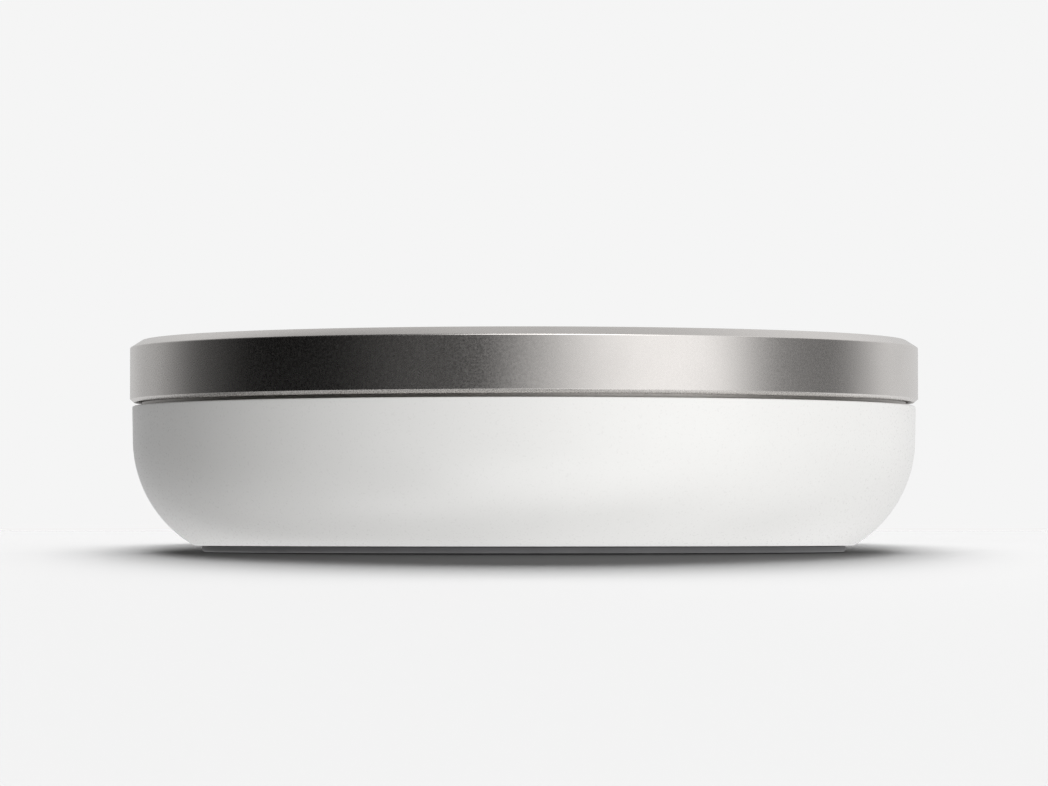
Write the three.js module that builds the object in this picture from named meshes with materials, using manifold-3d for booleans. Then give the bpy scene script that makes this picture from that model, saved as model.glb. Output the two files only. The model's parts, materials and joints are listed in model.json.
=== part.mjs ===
// A round, free-standing streaming media player: a white polymer bowl on a thin rubber foot,
// carrying a turned aluminium band whose inset top plate holds three keys.
// Millimetres, +Z up. The origin is the centre of the foot's underside, the front faces -Y
// and the sockets are in a recess at the rear, +Y.

import * as THREE from 'three';
import { mergeVertices } from 'three/addons/utils/BufferGeometryUtils.js';
import Module from 'manifold-3d';

const wasm = await Module();
wasm.setup();

const degrees = THREE.MathUtils.degToRad;

// ---------------------------------------------------------------- driving dimensions

// The outside, from the table up.
const FOOT_HEIGHT = 1.1;
const FOOT_RADIUS = 55.6;
const RIM_HEIGHT = 25.05;
const RIM_RADIUS = 67.6;
const SHADOW_GAP = 0.6;
const BAND_RADIUS = 68;
const TOTAL_HEIGHT = 36.35;

// The bowl's wall: a short drafted stretch under the rim, then one round sweep to the flat base.
const BOWL_WALL = 2.2;
const BOWL_DRAFT = 0.95;
const BOWL_SWEEP = { radius: 21.15, top: 19.05 };
const RIM_LIP = { width: 1.35, depth: 0.6 };

// The metal band's section, and the ledge inside it that carries the top plate.
const BAND_WALL = 1.75;
const BAND_FOOT_BEVEL = { width: 0.7, height: 0.6 };
const BAND_TOP_CHAMFER = { width: 2.05, height: 1.3 };
const BAND_LAND = 1.05;
const LEDGE = { innerRadius: 62, top: 33, thickness: 1.6 };
const NECK = { outerRadius: 65.95, wall: 1.95 };

// The top plate's upper face is a shallow dish.
const PLATE = { thickness: 1.8, centreTop: 34.9, dish: 0.6 };

// Keys stand a little proud of the plate and travel down onto tactile switches.
const KEY_TRAVEL = 0.5;
const KEY = { top: 35.3, dish: 0.35, edge: 0.3, flangeTop: 32.7, flange: 1, stemRadius: 2.5 };
const KEYS = [
  { name: 'play', x: 0, radius: 11 },
  { name: 'volume_down', x: -30, radius: 6.5 },
  { name: 'volume_up', x: 30, radius: 6.5 },
];
const SWITCH = { size: 6.2, height: 2, well: 1.4, plungerRadius: 1.6, plungerDepth: 0.6 };

// Fits.
const SEAT_GAP = 0.1;
const FIT_GAP = 0.3;

// The stack inside.
const FLOOR_TOP = FOOT_HEIGHT + BOWL_WALL;
const BALLAST = { radius: 45, thickness: 2 };
const BOARD = { bottom: 8.4, top: 10, radius: 58, rearEdge: 48.5 };
const FRAME = { bottom: 24.2, top: 26.2, innerRadius: 45.5, outerRadius: 63.6, rimWall: 1.4 };
const KEY_BOARD = { bottom: FRAME.top + SEAT_GAP, top: FRAME.top + SEAT_GAP + 1.2 };
const POST = { radius: 3.3, circleRadius: 50, angles: [45, 135, 225, 315] };
const POST_BORE = { radius: 1.75, top: 14.5 };
const POST_PAD = { radius: 4.5, top: FLOOR_TOP + 2 };
const BOARD_BOSS = { radius: 2.6, circleRadius: 51, angles: [0, 180, 245, 295] };
const BOARD_PILOT = { radius: 1.4, bottom: 4.3 };
const CASE_SCREW_HOLE = { radius: 1.8, counterbore: 3.2, counterboreTop: FLOOR_TOP - 0.2 };
const SCREW_ACCESS_RADIUS = 3.4;
const LIGHT = { y: -20, radius: 1 };

// The rear recess and the sockets in it. All but the network socket share one centre line.
const RECESS = { halfWidth: 34.8, bottom: 10, top: 21.4, wall: 1.2, cornerRadius: 1.8 };
const PORT_PLATE = { front: 51, thickness: 1.2 };
const PORT_CENTRE = 15.2;
const SOCKET_FRONT = PORT_PLATE.front - FIT_GAP;
const PLATE_BACK = PORT_PLATE.front - PORT_PLATE.thickness;
const POWER = { x: 28.5, width: 9.2, height: 3.4, wall: 0.35, depth: 9 };
const VIDEO = { x: 13.5, width: 15.2, height: 5.8, wall: 0.5, depth: 12, corner: 1.6 };
const NETWORK = { x: -5, width: 16, height: 12, depth: 21, mouthDepth: 14 };
const NETWORK_MOUTH = { halfWidth: 5.95, top: 20.5, bottom: 13.3, keywayHalfWidth: 3.1, keyway: 1.8 };
const AUDIO = { x: -19, noseRadius: 3, boreRadius: 1.8, depth: 13 };
const PAIR = { x: -28, radius: 2, proud: 0.6 };

// Facets around a full turn.
const BODY_FACETS = 72;
const INNER_FACETS = 48;
const KEY_FACETS = 32;
const SMALL_FACETS = 16;

// ---------------------------------------------------------------- shape helpers

// Turns a closed three.js geometry into a solid that can be joined and cut.
function toSolid(geometry) {
  const bare = geometry.clone();
  bare.deleteAttribute('normal');
  bare.deleteAttribute('uv');
  const merged = mergeVertices(bare, 1e-5);
  const vertProperties = new Float32Array(merged.attributes.position.array);
  const triVerts = new Uint32Array(merged.index.array);
  return new wasm.Manifold(new wasm.Mesh({ numProp: 3, vertProperties, triVerts }));
}

// Turns a solid back into a geometry, with one flat normal for each facet.
function toGeometry(solid) {
  const mesh = solid.getMesh();
  const shared = new THREE.BufferGeometry();
  shared.setAttribute('position', new THREE.BufferAttribute(mesh.vertProperties, 3));
  shared.setIndex(new THREE.BufferAttribute(mesh.triVerts, 1));
  const faceted = shared.toNonIndexed();
  faceted.computeVertexNormals();
  return faceted;
}

// A turned solid about Z. The outline lists [radius, height], with the outer side going up.
function turned(outline, facets) {
  const points = outline.map(([radius, height]) => new THREE.Vector2(radius, height));
  const geometry = new THREE.LatheGeometry(points, facets);
  geometry.rotateX(Math.PI / 2);
  return toSolid(geometry);
}

// A ring's outline closes on itself.
function turnedRing(outline, facets) {
  return turned([...outline, outline[0]], facets);
}

function block([x0, x1], [y0, y1], [z0, z1]) {
  const geometry = new THREE.BoxGeometry(x1 - x0, y1 - y0, z1 - z0);
  geometry.translate((x0 + x1) / 2, (y0 + y1) / 2, (z0 + z1) / 2);
  return toSolid(geometry);
}

// A cylinder along Z.
function upright(radius, [z0, z1], { x = 0, y = 0, facets = SMALL_FACETS } = {}) {
  const geometry = new THREE.CylinderGeometry(radius, radius, z1 - z0, facets);
  geometry.rotateX(Math.PI / 2);
  geometry.translate(x, y, (z0 + z1) / 2);
  return toSolid(geometry);
}

// A cylinder along Y, for what faces the rear.
function rearward(radius, [y0, y1], { x = 0, z = PORT_CENTRE } = {}) {
  const geometry = new THREE.CylinderGeometry(radius, radius, y1 - y0, SMALL_FACETS);
  geometry.translate(x, (y0 + y1) / 2, z);
  return toSolid(geometry);
}

function roundedRectangle([x0, x1], [y0, y1], radius) {
  const shape = new THREE.Shape();
  shape.absarc(x1 - radius, y0 + radius, radius, -Math.PI / 2, 0);
  shape.absarc(x1 - radius, y1 - radius, radius, 0, Math.PI / 2);
  shape.absarc(x0 + radius, y1 - radius, radius, Math.PI / 2, Math.PI);
  shape.absarc(x0 + radius, y0 + radius, radius, Math.PI, 1.5 * Math.PI);
  shape.closePath();
  return shape;
}

function polygon(corners) {
  return new THREE.Shape(corners.map(([x, y]) => new THREE.Vector2(x, y)));
}

// Extrudes an outline drawn in X and Y, upwards from z0 to z1.
function slab(shape, [z0, z1], curveSegments = 4) {
  const settings = { depth: z1 - z0, bevelEnabled: false, curveSegments };
  const geometry = new THREE.ExtrudeGeometry(shape, settings);
  geometry.translate(0, 0, z0);
  return toSolid(geometry);
}

// Extrudes an outline drawn in X and Z, rearwards from y0 to y1.
function rearSlab(shape, [y0, y1], curveSegments = 4) {
  const settings = { depth: y1 - y0, bevelEnabled: false, curveSegments };
  const geometry = new THREE.ExtrudeGeometry(shape, settings);
  geometry.rotateX(Math.PI / 2);
  geometry.translate(0, y1, 0);
  return toSolid(geometry);
}

// Points of [radius, height] along an arc in the turning plane.
function arc([centreRadius, centreHeight], radius, fromAngle, toAngle, steps) {
  return Array.from({ length: steps + 1 }, (_, step) => {
    const angle = fromAngle + ((toAngle - fromAngle) * step) / steps;
    return [centreRadius + radius * Math.cos(angle), centreHeight + radius * Math.sin(angle)];
  });
}

function placesOnCircle({ circleRadius, angles }) {
  return angles.map((angle) => ({
    x: circleRadius * Math.cos(degrees(angle)),
    y: circleRadius * Math.sin(degrees(angle)),
  }));
}

function joinAll(solids) {
  return solids.reduce((whole, solid) => whole.add(solid));
}

function cutAll(solid, cutters) {
  return cutters.reduce((rest, cutter) => rest.subtract(cutter), solid);
}

// ---------------------------------------------------------------- the bowl

// Where the drafted stretch meets the sweep, and the sweep's centre.
const SWEEP_TOP_RADIUS = RIM_RADIUS - (RIM_HEIGHT - BOWL_SWEEP.top) * Math.tan(degrees(BOWL_DRAFT));
const SWEEP_CENTRE = [
  SWEEP_TOP_RADIUS - BOWL_SWEEP.radius * Math.cos(degrees(BOWL_DRAFT)),
  BOWL_SWEEP.top + BOWL_SWEEP.radius * Math.sin(degrees(BOWL_DRAFT)),
];

// The bowl's outer outline from the axis to the rim, moved inwards by inset.
function bowlOutline(inset, steps) {
  const radius = BOWL_SWEEP.radius - inset;
  const bottom = FOOT_HEIGHT + inset;
  const lowest = -Math.asin((SWEEP_CENTRE[1] - bottom) / radius);
  const sweep = arc(SWEEP_CENTRE, radius, lowest, -degrees(BOWL_DRAFT), steps);
  return [[0, bottom], ...sweep, [RIM_RADIUS - inset, RIM_HEIGHT]];
}

function recessPrism(grow, depth) {
  const across = [-RECESS.halfWidth - grow, RECESS.halfWidth + grow];
  const upwards = [RECESS.bottom - grow, RECESS.top + grow];
  return rearSlab(roundedRectangle(across, upwards, RECESS.cornerRadius + grow), depth);
}

function lowerBowl() {
  const outside = bowlOutline(0, 8);
  const lipRadius = RIM_RADIUS - RIM_LIP.width;
  const seat = RIM_HEIGHT - RIM_LIP.depth;
  const inside = bowlOutline(BOWL_WALL, 5).slice(0, -1).reverse();
  const wallTop = [RIM_RADIUS - BOWL_WALL, seat];
  const shell = turned(
    [...outside, [lipRadius, RIM_HEIGHT], [lipRadius, seat], wallTop, ...inside],
    BODY_FACETS,
  );

  const pads = placesOnCircle(POST).map((place) => (
    upright(POST_PAD.radius, [FLOOR_TOP - 1, POST_PAD.top], place)
  ));
  const bosses = placesOnCircle(BOARD_BOSS).map((place) => (
    upright(BOARD_BOSS.radius, [FLOOR_TOP - 1, BOARD.bottom - SEAT_GAP], place)
  ));
  const screwHoles = placesOnCircle(POST).flatMap((place) => [
    upright(CASE_SCREW_HOLE.radius, [0, POST_PAD.top + 1], place),
    upright(CASE_SCREW_HOLE.counterbore, [0, CASE_SCREW_HOLE.counterboreTop], place),
  ]);
  const pilotHoles = placesOnCircle(BOARD_BOSS).map((place) => (
    upright(BOARD_PILOT.radius, [BOARD_PILOT.bottom, BOARD.bottom], place)
  ));
  const window = recessPrism(RECESS.wall + FIT_GAP, [PLATE_BACK - 5, RIM_RADIUS + 5]);
  return cutAll(joinAll([shell, ...pads, ...bosses]), [...screwHoles, ...pilotHoles, window]);
}

// A disc with a rounded lower edge, and a hole under each case screw.
function rubberFoot() {
  const edgeRadius = FOOT_HEIGHT;
  const edgeCentre = [FOOT_RADIUS - edgeRadius - 0.2, edgeRadius];
  const edge = arc(edgeCentre, edgeRadius, -Math.PI / 2, -0.2, 3);
  const top = FOOT_HEIGHT - SEAT_GAP;
  const disc = turned([[0, 0], ...edge, [FOOT_RADIUS, top], [0, top]], BODY_FACETS);
  const screwAccess = placesOnCircle(POST).map((place) => (
    upright(SCREW_ACCESS_RADIUS, [-1, FOOT_HEIGHT + 1], place)
  ));
  return cutAll(disc, screwAccess);
}

// ---------------------------------------------------------------- the metal band and its neck

const BAND_BOTTOM = RIM_HEIGHT + SHADOW_GAP;
const BAND_TOP_RADIUS = BAND_RADIUS - BAND_TOP_CHAMFER.width;
const POCKET_RADIUS = BAND_TOP_RADIUS - BAND_LAND;
const LEDGE_BOTTOM = LEDGE.top - LEDGE.thickness;

function trimRing() {
  const wallInside = BAND_RADIUS - BAND_WALL;
  return turnedRing([
    [wallInside, BAND_BOTTOM],
    [BAND_RADIUS - BAND_FOOT_BEVEL.width, BAND_BOTTOM],
    [BAND_RADIUS, BAND_BOTTOM + BAND_FOOT_BEVEL.height],
    [BAND_RADIUS, TOTAL_HEIGHT - BAND_TOP_CHAMFER.height],
    [BAND_TOP_RADIUS, TOTAL_HEIGHT],
    [POCKET_RADIUS, TOTAL_HEIGHT],
    [POCKET_RADIUS, LEDGE.top],
    [LEDGE.innerRadius, LEDGE.top],
    [LEDGE.innerRadius, LEDGE_BOTTOM],
    [wallInside, LEDGE_BOTTOM],
  ], BODY_FACETS);
}

// The tube behind the shadow gap, standing on the bowl's rim seat and carrying the band.
function neckRing() {
  const bottom = RIM_HEIGHT - RIM_LIP.depth + FIT_GAP;
  const top = LEDGE_BOTTOM - FIT_GAP;
  const inside = NECK.outerRadius - NECK.wall;
  return turnedRing([
    [inside, bottom],
    [NECK.outerRadius, bottom],
    [NECK.outerRadius, top],
    [inside, top],
  ], BODY_FACETS);
}

// ---------------------------------------------------------------- the top plate, keys and light

const PLATE_RADIUS = POCKET_RADIUS - FIT_GAP;
const PLATE_BOTTOM = PLATE.centreTop - PLATE.thickness;

function plateHeightAt(radius) {
  return PLATE.centreTop + PLATE.dish * (radius / PLATE_RADIUS) ** 2;
}

function topPlate() {
  const edgeChamfer = 0.3;
  const dishRings = [PLATE_RADIUS - edgeChamfer, 48, 32, 16];
  const dish = dishRings.map((radius) => [radius, plateHeightAt(radius)]);
  const plate = turned([
    [0, PLATE_BOTTOM],
    [PLATE_RADIUS, PLATE_BOTTOM],
    [PLATE_RADIUS, plateHeightAt(PLATE_RADIUS) - edgeChamfer],
    ...dish,
    [0, PLATE.centreTop],
  ], BODY_FACETS);
  const through = [PLATE_BOTTOM - 1, TOTAL_HEIGHT];
  const keyHoles = KEYS.map(({ x, radius }) => (
    upright(radius + FIT_GAP, through, { x, facets: KEY_FACETS })
  ));
  const lightHole = upright(LIGHT.radius + FIT_GAP, through, { y: LIGHT.y });
  return cutAll(plate, [...keyHoles, lightHole]);
}

const SWITCH_TOP = KEY_BOARD.top + SEAT_GAP + SWITCH.height;
const STEM_BOTTOM = SWITCH_TOP + KEY_TRAVEL + 0.4;

// The pieces of one key are made about their own axis and placed together.
// The cap is dished, and its flange stops it lifting out of the plate.
function keyCap({ radius }) {
  const flangeRadius = radius + KEY.flange;
  const flangeBottom = KEY.flangeTop - 1;
  return turned([
    [0, STEM_BOTTOM],
    [KEY.stemRadius, STEM_BOTTOM],
    [KEY.stemRadius, flangeBottom],
    [flangeRadius, flangeBottom],
    [flangeRadius, KEY.flangeTop],
    [radius, KEY.flangeTop],
    [radius, KEY.top - KEY.edge],
    [radius - KEY.edge, KEY.top],
    [radius * 0.8, KEY.top - KEY.dish * 0.36],
    [radius * 0.45, KEY.top - KEY.dish * 0.8],
    [0, KEY.top - KEY.dish],
  ], KEY_FACETS);
}

// The switch's plunger moves with its key.
function keyPlunger() {
  const bottom = SWITCH_TOP - SWITCH.plungerDepth;
  return upright(SWITCH.plungerRadius, [bottom, STEM_BOTTOM - SEAT_GAP]);
}

function keySwitch() {
  const half = SWITCH.size / 2;
  const bottom = KEY_BOARD.top + SEAT_GAP;
  const housing = block([-half, half], [-half, half], [bottom, SWITCH_TOP]);
  const wellDepth = [SWITCH_TOP - SWITCH.well, SWITCH_TOP + 1];
  return housing.subtract(upright(SWITCH.plungerRadius + FIT_GAP, wellDepth));
}

const LED_TOP = KEY_BOARD.top + SEAT_GAP + 0.8;

function statusLed() {
  return block([-1, 1], [-0.6, 0.6], [KEY_BOARD.top + SEAT_GAP, LED_TOP]);
}

// The light pipe ends flush with the plate, and its flange is bonded to the plate's underside.
function lightPipe() {
  const flangeTop = PLATE_BOTTOM - SEAT_GAP;
  return turned([
    [0, LED_TOP + FIT_GAP],
    [LIGHT.radius, LED_TOP + FIT_GAP],
    [LIGHT.radius, flangeTop - 0.8],
    [LIGHT.radius + 1, flangeTop - 0.8],
    [LIGHT.radius + 1, flangeTop],
    [LIGHT.radius, flangeTop],
    [LIGHT.radius, plateHeightAt(LIGHT.y)],
    [0, plateHeightAt(LIGHT.y)],
  ], SMALL_FACETS);
}

// ---------------------------------------------------------------- the inner frame and key board

const BRIDGE = { halfDepth: 13, tongueHalfWidth: 8, tongueEnd: -26 };
const KEY_BOARD_SCREWS = [{ x: -37, y: 0 }, { x: 37, y: 0 }];
const KEY_SCREW_HOLE_RADIUS = 1.2;

// A ring that braces the neck, a bridge under the key board, and four posts down to the floor.
function innerFrame() {
  const rimInside = FRAME.outerRadius - FRAME.rimWall;
  const rimTop = LEDGE_BOTTOM - FIT_GAP;
  const ring = turnedRing([
    [FRAME.innerRadius, FRAME.bottom],
    [FRAME.outerRadius, FRAME.bottom],
    [FRAME.outerRadius, rimTop],
    [rimInside, rimTop],
    [rimInside, FRAME.top],
    [FRAME.innerRadius, FRAME.top],
  ], INNER_FACETS);
  const level = [FRAME.bottom, FRAME.top];
  const reach = FRAME.innerRadius + 2;
  const bridge = block([-reach, reach], [-BRIDGE.halfDepth, BRIDGE.halfDepth], level);
  const tongue = block([-BRIDGE.tongueHalfWidth, BRIDGE.tongueHalfWidth], [BRIDGE.tongueEnd, 0], level);
  const posts = placesOnCircle(POST).map((place) => (
    upright(POST.radius, [POST_PAD.top + FIT_GAP, FRAME.bottom + 1], place)
  ));
  const bores = placesOnCircle(POST).map((place) => (
    upright(POST_BORE.radius, [POST_PAD.top, POST_BORE.top], place)
  ));
  const pilots = KEY_BOARD_SCREWS.map((place) => (
    upright(KEY_SCREW_HOLE_RADIUS, [FRAME.bottom - 1, FRAME.top + 1], place)
  ));
  return cutAll(joinAll([ring, bridge, tongue, ...posts]), [...bores, ...pilots]);
}

// A strip under the three keys, with a tongue forward to the status light.
function keyBoard() {
  const level = [KEY_BOARD.bottom, KEY_BOARD.top];
  const strip = slab(roundedRectangle([-41, 41], [-11, 11], 3), level);
  const tongue = block([-6, 6], [LIGHT.y - 5, -10], level);
  const holes = KEY_BOARD_SCREWS.map((place) => (
    upright(KEY_SCREW_HOLE_RADIUS, [FRAME.bottom, KEY_BOARD.top + 1], place)
  ));
  return cutAll(strip.add(tongue), holes);
}

// The ribbon cable from the key board, over the bridge's rear edge, down to the main board.
function keyFlex() {
  const top = KEY_BOARD.top + SEAT_GAP;
  const bottom = BOARD.top + SEAT_GAP;
  const thickness = 0.3;
  const bend = 1.4;
  const front = 5;
  const back = 15.4;
  const end = 22;
  const outline = new THREE.Shape();
  outline.moveTo(front, top);
  outline.lineTo(back - bend, top);
  outline.absarc(back - bend, top - bend, bend, Math.PI / 2, 0, true);
  outline.lineTo(back, bottom + bend + thickness);
  outline.absarc(back + bend + thickness, bottom + bend + thickness, bend + thickness,
    Math.PI, 1.5 * Math.PI);
  outline.lineTo(end, bottom);
  outline.lineTo(end, bottom + thickness);
  outline.lineTo(back + bend + thickness, bottom + thickness);
  outline.absarc(back + bend + thickness, bottom + bend + thickness, bend, 1.5 * Math.PI, Math.PI, true);
  outline.lineTo(back + thickness, top - bend);
  outline.absarc(back - bend, top - bend, bend + thickness, 0, Math.PI / 2);
  outline.lineTo(front, top + thickness);
  const settings = { depth: 6, bevelEnabled: false, curveSegments: 4 };
  const geometry = new THREE.ExtrudeGeometry(outline, settings);
  // The outline's X becomes Y, its Y becomes Z, and the extrusion runs along X.
  geometry.rotateX(Math.PI / 2);
  geometry.rotateZ(Math.PI / 2);
  geometry.translate(-30, 0, 0);
  return toSolid(geometry);
}

// ---------------------------------------------------------------- the main board and what is on it

const ON_BOARD = BOARD.top + SEAT_GAP;

function mainBoard() {
  const disc = upright(BOARD.radius, [BOARD.bottom, BOARD.top], { facets: INNER_FACETS });
  const rearTrim = block([-70, 70], [BOARD.rearEdge, 70], [0, 30]);
  const through = [BOARD.bottom - 1, BOARD.top + 1];
  const postHoles = placesOnCircle(POST).map((place) => upright(POST.radius + 0.5, through, place));
  const screwHoles = placesOnCircle(BOARD_BOSS).map((place) => upright(1.5, through, place));
  return cutAll(disc, [rearTrim, ...postHoles, ...screwHoles]);
}

function ballastPlate() {
  const bottom = FLOOR_TOP + SEAT_GAP;
  return upright(BALLAST.radius, [bottom, bottom + BALLAST.thickness], { facets: INNER_FACETS });
}

// A folded shield can with a shallow step around its lid.
function shieldCan({ x, y, height }) {
  const step = { width: 0.8, height: 0.3 };
  const inner = ([from, to]) => [from + step.width, to - step.width];
  const can = block(x, y, [ON_BOARD, ON_BOARD + height - step.height]);
  return can.add(block(inner(x), inner(y), [ON_BOARD, ON_BOARD + height]));
}

const PROCESSOR_SHIELD = { x: [-20, 20], y: [-17, 21], height: 2 };
const THERMAL_PAD_THICKNESS = 0.5;
const HEAT_SINK = { halfWidth: 22, y: [-18, 22], base: 2.2, top: 22.8, fins: 7, finHalfWidth: 0.8 };
const PAD_BOTTOM = ON_BOARD + PROCESSOR_SHIELD.height + SEAT_GAP;
const HEAT_SINK_BOTTOM = PAD_BOTTOM + THERMAL_PAD_THICKNESS + SEAT_GAP;

function thermalPad() {
  return block([-16, 16], [-14, 18], [PAD_BOTTOM, PAD_BOTTOM + THERMAL_PAD_THICKNESS]);
}

function heatSink() {
  const { halfWidth, y, finHalfWidth } = HEAT_SINK;
  const baseTop = HEAT_SINK_BOTTOM + HEAT_SINK.base;
  const base = block([-halfWidth, halfWidth], y, [HEAT_SINK_BOTTOM, baseTop]);
  const pitch = (2 * halfWidth) / HEAT_SINK.fins;
  const fins = Array.from({ length: HEAT_SINK.fins }, (_, index) => {
    const middle = -halfWidth + pitch * (index + 0.5);
    return block([middle - finHalfWidth, middle + finHalfWidth], y, [baseTop - 1, HEAT_SINK.top]);
  });
  return joinAll([base, ...fins]);
}

const INDUCTOR_HEIGHT = 4.5;
const CAPACITOR = { radius: 3.15, height: 8, places: [{ x: 42, y: -8 }, { x: 42, y: -16 }] };

function powerInductor() {
  const footprint = roundedRectangle([40, 48], [8, 16], 1.2);
  return slab(footprint, [ON_BOARD, ON_BOARD + INDUCTOR_HEIGHT], 2);
}

function capacitor() {
  return upright(CAPACITOR.radius, [ON_BOARD, ON_BOARD + CAPACITOR.height]);
}

const ANTENNAS = [
  { name: 'left', angle: 200 },
  { name: 'right', angle: 340 },
];
const ANTENNA = { innerRadius: 61.2, outerRadius: 62, halfSpan: 15, bottom: 14 };

// A flexible aerial on a thin curved carrier, hung from the frame inside the bowl's wall.
function antenna({ angle }) {
  const from = degrees(angle - ANTENNA.halfSpan);
  const to = degrees(angle + ANTENNA.halfSpan);
  const shape = new THREE.Shape();
  shape.absarc(0, 0, ANTENNA.outerRadius, from, to);
  shape.absarc(0, 0, ANTENNA.innerRadius, to, from, true);
  shape.closePath();
  return slab(shape, [ANTENNA.bottom, FRAME.bottom - SEAT_GAP], 8);
}

const RADIO_SHIELD = { x: [-14, 14], y: [-44, -26], height: 2.4 };
const LEAD_RADIUS = 0.6;

// The coaxial lead from each aerial to the radio shield.
function antennaLead({ angle }) {
  const side = Math.sign(Math.cos(degrees(angle)));
  const start = ANTENNA.innerRadius - 1;
  const route = new THREE.CatmullRomCurve3([
    new THREE.Vector3(start * Math.cos(degrees(angle)), start * Math.sin(degrees(angle)), 16),
    new THREE.Vector3(side * 50, -23, 12.4),
    new THREE.Vector3(side * 32, -28.5, 11.2),
    new THREE.Vector3(side * (RADIO_SHIELD.x[1] + FIT_GAP), -33, 11.2),
  ]);
  const section = new THREE.Shape();
  section.absarc(0, 0, LEAD_RADIUS, 0, 2 * Math.PI);
  const settings = { steps: 14, bevelEnabled: false, extrudePath: route, curveSegments: 4 };
  return toSolid(new THREE.ExtrudeGeometry(section, settings));
}

// ---------------------------------------------------------------- the rear recess and sockets

// The lining of the recess, trimmed to follow the bowl's outside.
function portTunnel() {
  const span = [PORT_PLATE.front + FIT_GAP, RIM_RADIUS + 5];
  const outside = recessPrism(RECESS.wall, span);
  const inside = recessPrism(0, [span[0] - 1, span[1] + 1]);
  const outline = bowlOutline(SEAT_GAP, 8);
  const envelope = turned([...outline, [0, RIM_HEIGHT]], BODY_FACETS);
  return outside.subtract(inside).intersect(envelope);
}

// The video socket's D shape: the lower corners are cut off.
function videoShape(inset) {
  const half = VIDEO.width / 2 - inset;
  const top = PORT_CENTRE + VIDEO.height / 2 - inset;
  const bottom = PORT_CENTRE - VIDEO.height / 2 + inset;
  return polygon([
    [VIDEO.x - half + VIDEO.corner, bottom],
    [VIDEO.x + half - VIDEO.corner, bottom],
    [VIDEO.x + half, bottom + VIDEO.corner],
    [VIDEO.x + half, top],
    [VIDEO.x - half, top],
    [VIDEO.x - half, bottom + VIDEO.corner],
  ]);
}

function powerShape(inset) {
  const half = POWER.width / 2 - inset;
  const halfHeight = POWER.height / 2 - inset;
  const across = [POWER.x - half, POWER.x + half];
  return roundedRectangle(across, [PORT_CENTRE - halfHeight, PORT_CENTRE + halfHeight], halfHeight);
}

// The network socket's mouth, with the keyway for the plug's latch below it.
function networkMouth(grow, depth) {
  const { x } = NETWORK;
  const half = NETWORK_MOUTH.halfWidth + grow;
  const keyHalf = NETWORK_MOUTH.keywayHalfWidth + grow;
  const bottom = NETWORK_MOUTH.bottom - grow;
  const main = block([x - half, x + half], depth, [bottom, NETWORK_MOUTH.top + grow]);
  const keyway = block([x - keyHalf, x + keyHalf], depth, [bottom - NETWORK_MOUTH.keyway, bottom + 1]);
  return main.add(keyway);
}

function portPlate() {
  const depth = [PLATE_BACK, PORT_PLATE.front];
  const through = [depth[0] - 1, depth[1] + 1];
  const plate = recessPrism(RECESS.wall, depth);
  return cutAll(plate, [
    rearSlab(powerShape(-FIT_GAP), through),
    rearSlab(videoShape(-FIT_GAP), through),
    networkMouth(FIT_GAP, through),
    rearward(AUDIO.noseRadius + FIT_GAP, through, { x: AUDIO.x }),
    rearward(PAIR.radius + FIT_GAP, through, { x: PAIR.x }),
  ]);
}

// A metal socket shell, closed at the back, with a leg on each side down to the board.
const SHELL_BACK = 1;
const LEG_HALF_WIDTH = 0.6;

function socketShell(socket, shapeAt, legInset) {
  const depth = [SOCKET_FRONT - socket.depth, SOCKET_FRONT];
  const shell = rearSlab(shapeAt(0), depth);
  const mouth = rearSlab(shapeAt(socket.wall), [depth[0] + SHELL_BACK, depth[1] + 1]);
  const legTop = PORT_CENTRE - socket.height / 2 + socket.wall / 2;
  const legs = [-1, 1].map((side) => {
    const middle = socket.x + side * (socket.width / 2 - legInset);
    const across = [middle - LEG_HALF_WIDTH, middle + LEG_HALF_WIDTH];
    return block(across, [depth[0], depth[1] - 4], [ON_BOARD, legTop]);
  });
  return joinAll([shell.subtract(mouth), ...legs]);
}

// The contact carrier inside a shell.
function socketTongue(socket, halfWidth, [z0, z1], setBack) {
  const rear = SOCKET_FRONT - socket.depth + SHELL_BACK + FIT_GAP;
  const across = [socket.x - halfWidth, socket.x + halfWidth];
  return block(across, [rear, SOCKET_FRONT - setBack], [PORT_CENTRE + z0, PORT_CENTRE + z1]);
}

function videoSocket() {
  return socketShell(VIDEO, videoShape, 2.4);
}

function videoTongue() {
  return socketTongue(VIDEO, 5.6, [0.1, 1.3], 1.2);
}

function powerSocket() {
  return socketShell(POWER, powerShape, 2.2);
}

function powerTongue() {
  return socketTongue(POWER, 3.35, [-0.35, 0.35], 0.8);
}

function networkSocket() {
  const front = PLATE_BACK - FIT_GAP;
  const half = NETWORK.width / 2;
  const across = [NETWORK.x - half, NETWORK.x + half];
  const housing = block(across, [front - NETWORK.depth, front], [ON_BOARD, ON_BOARD + NETWORK.height]);
  return housing.subtract(networkMouth(0, [front - NETWORK.mouthDepth, front + 1]));
}

function audioJack() {
  const back = PLATE_BACK - FIT_GAP;
  const body = block([AUDIO.x - 4, AUDIO.x + 4], [back - AUDIO.depth, back], [ON_BOARD, PORT_CENTRE + 4]);
  const nose = rearward(AUDIO.noseRadius, [back - 1, SOCKET_FRONT], { x: AUDIO.x });
  const bore = rearward(AUDIO.boreRadius, [back - AUDIO.depth + 1, SOCKET_FRONT + 1], { x: AUDIO.x });
  return body.add(nose).subtract(bore);
}

// ---------------------------------------------------------------- the pairing button

const PAIR_FLANGE = { width: 0.8, thickness: 0.8 };
const PAIR_PLUNGER_RADIUS = 1;
const PAIR_FLANGE_BACK = PLATE_BACK - FIT_GAP - PAIR_FLANGE.thickness;
const PAIR_SWITCH_FRONT = PAIR_FLANGE_BACK - KEY_TRAVEL - 0.7;

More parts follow.
